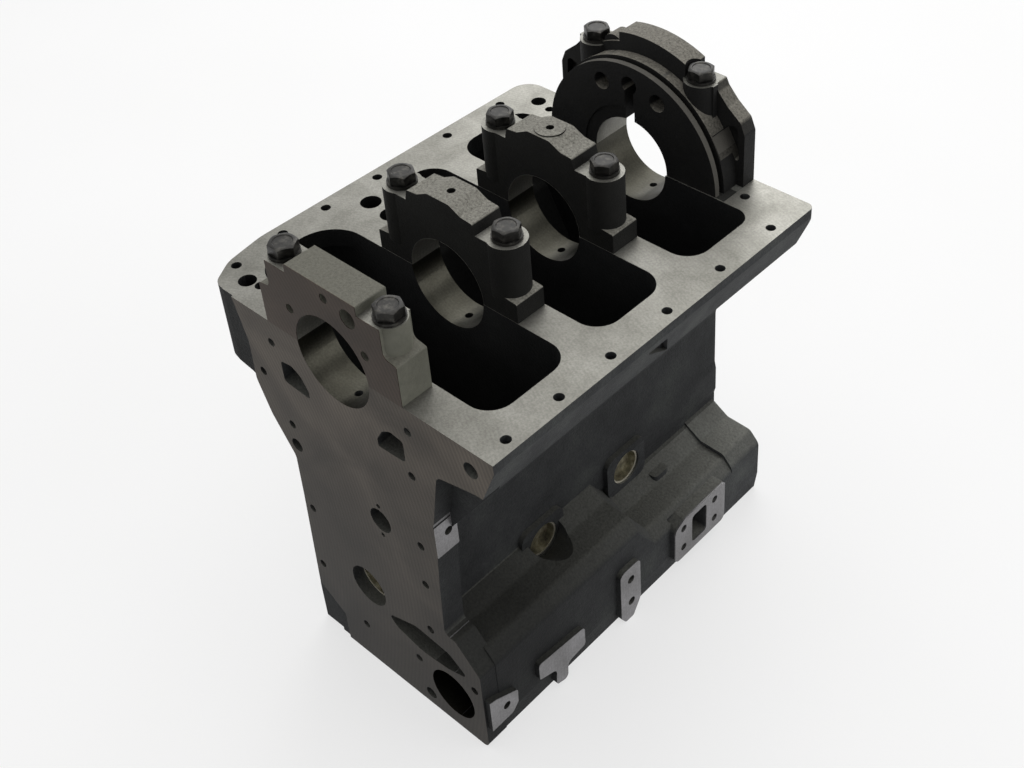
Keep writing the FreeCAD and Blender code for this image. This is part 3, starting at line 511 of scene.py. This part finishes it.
def black_oxide():
    """Oil-blackened steel: near-black, half gloss, rubbed to grey in places and dusty in its dents."""
    material, tree = new_material("oil_blackened_steel")
    place = add(tree, "ShaderNodeTexCoord").outputs["Object"]
    cloud = add(tree, "ShaderNodeTexNoise", {"Scale": 160.0, "Detail": 5.0, "Roughness": 0.65},
                {"Vector": place})
    tone = add(tree, "ShaderNodeValToRGB",
               {"stops": [(0.3, "#1a1a19"), (0.52, "#2c2b29"), (0.75, "#54524d")]},
               {"Fac": cloud.outputs["Fac"]})
    rough = add(tree, "ShaderNodeMapRange", {"To Min": 0.3, "To Max": 0.55}, {"Value": cloud.outputs["Fac"]})
    bump = add(tree, "ShaderNodeBump", {"Distance": 0.0004, "Strength": 0.3},
               {"Height": cloud.outputs["Fac"]})
    shader = add(tree, "ShaderNodeBsdfPrincipled", {"Metallic": 0.75},
                 {"Base Color": tone.outputs[0], "Roughness": rough.outputs[0], "Normal": bump.outputs[0]})
    add(tree, "ShaderNodeOutputMaterial", links={"Surface": shader.outputs[0]})
    return material


blackened = black_oxide()


def settle(piece):
    """Select one object alone, and write its place and modifiers into its mesh."""
    bpy.ops.object.select_all(action="DESELECT")
    piece.select_set(True)
    bpy.context.view_layer.objects.active = piece
    bpy.ops.object.transform_apply(location=True, rotation=True, scale=True)
    for modifier in list(piece.modifiers):
        bpy.ops.object.modifier_apply(modifier=modifier.name)


def machine(piece, tool, operation):
    """Cut a piece with a turning or punching tool, then put the tool away."""
    settle(tool)
    cut = piece.modifiers.new(operation, "BOOLEAN")
    cut.operation = operation
    cut.object = tool
    cut.solver = "EXACT"
    settle(piece)
    bpy.data.objects.remove(tool)


def model_bolt(under_head):
    """A bolt on the Z axis, its head standing on a washer at the given height."""
    top = under_head + head_height
    bpy.ops.object.select_all(action="DESELECT")
    bpy.ops.mesh.primitive_cylinder_add(vertices=6, radius=head_flats / math.sqrt(3), depth=head_height,
                                        location=(0, 0, top - head_height / 2), rotation=(0, 0, first_corner))
    head = bpy.context.object
    # the six corners are rolled soft in the forging
    soften = head.modifiers.new("soft corners", "BEVEL")
    soften.width = corner_radius
    soften.segments = 2
    soften.limit_method = "ANGLE"
    settle(head)
    # the chamfer is turned by a cone that takes the corners off
    top_radius = head_flats / 2 - recess_depth
    flare = chamfer_height / math.tan(chamfer_angle)
    bpy.ops.object.select_all(action="DESELECT")
    bpy.ops.mesh.primitive_cone_add(vertices=64, radius1=top_radius + flare, radius2=top_radius,
                                    depth=chamfer_height, location=(0, 0, top - chamfer_height / 2))
    machine(head, bpy.context.object, "INTERSECT")
    # round recess forged in the top
    bpy.ops.object.select_all(action="DESELECT")
    bpy.ops.mesh.primitive_cone_add(vertices=48, radius1=recess_floor_radius, radius2=recess_rim_radius,
                                    depth=recess_depth * 2, location=(0, 0, top))
    machine(head, bpy.context.object, "DIFFERENCE")
    # shank, let a little into the head
    length = under_head + recess_depth - shank_end
    bpy.ops.object.select_all(action="DESELECT")
    bpy.ops.mesh.primitive_cylinder_add(vertices=32, radius=shank_radius, depth=length,
                                        location=(0, 0, shank_end + length / 2))
    shank = bpy.context.object
    settle(shank)
    head.select_set(True)
    bpy.context.view_layer.objects.active = head
    bpy.ops.object.join()
    bpy.ops.object.shade_smooth_by_angle(angle=math.radians(35))
    head.data.materials.clear()
    head.data.materials.append(blackened)
    return head


bolt_models = {z: model_bolt(z + washer_thickness) for z in sorted(set(seat_z.values()))}
for place_name in cap_places:
    for side_name, side in (("left", -1), ("right", 1)):
        node_name = f"{place_name}_{side_name}_cap_bolt"
        low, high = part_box(node_name)
        model = bolt_models[seat_z[place_name]]
        bolt = model.copy()
        bolt.data = model.data.copy()
        bolt.name = f"{place_name}_{side_name}_bolt"
        bpy.context.scene.collection.objects.link(bolt)
        # each is tightened to its own angle
        centre = Vector(((low[0] + high[0]) / 2, (low[1] + high[1]) / 2, 0))
        turn = math.radians(turn_by_side * side + turn_by_place * centre.y)
        bolt.data.transform(Matrix.Rotation(turn, 4, "Z"))
        bolt.data.transform(Matrix.Translation(centre))
        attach(bolt, "root")
        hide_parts(node_name)
        dress(f"{place_name}_{side_name}_cap_washer", blackened)
for model in bolt_models.values():
    bpy.data.objects.remove(model)


# ---- Floor, light and camera ------------------------------------------------------------------
# A plain pale floor under a white surround, large soft lamps above and behind, a weaker one at
# the side, and the camera at the right front, above the rail.

floor_size = 8.0
unlit_share = 0.65                    # of the floor's white that needs no lamp


def seen_directly(tree):
    """1 for what the camera, a mirror or a glass sees, 0 for the light that falls on the object."""
    ray = add(tree, "ShaderNodeLightPath")
    seen = add(tree, "ShaderNodeMath", {"operation": "MAXIMUM"},
               {0: ray.outputs["Is Camera Ray"], 1: ray.outputs["Is Glossy Ray"]})
    return add(tree, "ShaderNodeMath", {"operation": "MAXIMUM"},
               {0: seen.outputs[0], 1: ray.outputs["Is Transmission Ray"]}).outputs[0]


def pale_floor():
    """Matt white paint with the faintest mottle, which throws little light back up."""
    material, tree = new_material("matt_white_paint")
    place = add(tree, "ShaderNodeTexCoord").outputs["Object"]
    mottle = add(tree, "ShaderNodeTexNoise", {"Scale": 3.0, "Detail": 2.0}, {"Vector": place})
    tone = add(tree, "ShaderNodeValToRGB", {"stops": [(0.3, "#f8f8f7"), (0.7, "#fcfcfc")]},
               {"Fac": mottle.outputs["Fac"]})
    colour = add(tree, "ShaderNodeMix", {"data_type": "RGBA", 6: "#8a8a88"},
                 {"Factor": seen_directly(tree), 7: tone.outputs[0]})
    paint = add(tree, "ShaderNodeBsdfPrincipled", {"Roughness": 0.9}, {"Base Color": colour.outputs[2]})
    # part of its white is seen without lamps, so that it meets the white surround and keeps the shadow
    white_paint = add(tree, "ShaderNodeEmission", {"Color": "#ffffff", "Strength": 1.0})
    part = add(tree, "ShaderNodeMath", {"operation": "MULTIPLY", 1: unlit_share}, {0: seen_directly(tree)})
    mixed_paint = add(tree, "ShaderNodeMixShader",
                      links={0: part.outputs[0], 1: paint.outputs[0], 2: white_paint.outputs[0]})
    add(tree, "ShaderNodeOutputMaterial", links={"Surface": mixed_paint.outputs[0]})
    return material


bpy.ops.object.select_all(action="DESELECT")
bpy.ops.mesh.primitive_plane_add(size=floor_size, location=(0, 0, 0))
floor = bpy.context.object
floor.name = "floor"
floor.data.materials.append(pale_floor())

world = bpy.data.worlds.new("white_surround")
bpy.context.scene.world = world
world.use_nodes = True
world.node_tree.nodes.clear()
sky = world.node_tree
soft = add(sky, "ShaderNodeBackground", {"Color": "#ffffff", "Strength": 0.42})
white = add(sky, "ShaderNodeBackground", {"Color": "#ffffff", "Strength": 1.0})
mixed = add(sky, "ShaderNodeMixShader",
            links={0: seen_directly(sky), 1: soft.outputs[0], 2: white.outputs[0]})
add(sky, "ShaderNodeOutputWorld", links={"Surface": mixed.outputs[0]})

for lamp_name, lamp_place, target, size, watts in (
    ("overhead_softbox", (-0.4, 0.5, 2.1), (0, 0, 0.25), 2.2, 20.0),
    ("rear_softbox", (-1.1, 1.8, 1.6), (0, 0, 0.3), 1.4, 14.0),
    ("side_softbox", (2.0, 0.9, 1.0), (0, 0, 0.2), 1.4, 9.0),
):
    lamp_data = bpy.data.lights.new(lamp_name, "AREA")
    lamp_data.size = size
    lamp_data.energy = watts
    lamp = bpy.data.objects.new(lamp_name, lamp_data)
    lamp.location = lamp_place
    lamp.rotation_euler = (Vector(target) - Vector(lamp_place)).to_track_quat("-Z", "Y").to_euler()
    bpy.context.scene.collection.objects.link(lamp)

camera_data = bpy.data.cameras.new("camera")
camera_data.lens = 50.29
camera_data.sensor_width = 36.0
camera_data.shift_x = -0.0973
camera_data.shift_y = -0.1663
camera = bpy.data.objects.new("camera", camera_data)
camera.location = (0.63027, -0.58615, 0.98518)
camera.rotation_euler = (math.radians(53.8334), math.radians(1.6051), math.radians(40.7385))
bpy.context.scene.collection.objects.link(camera)
bpy.context.scene.camera = camera
bpy.context.scene.view_settings.view_transform = "Standard"
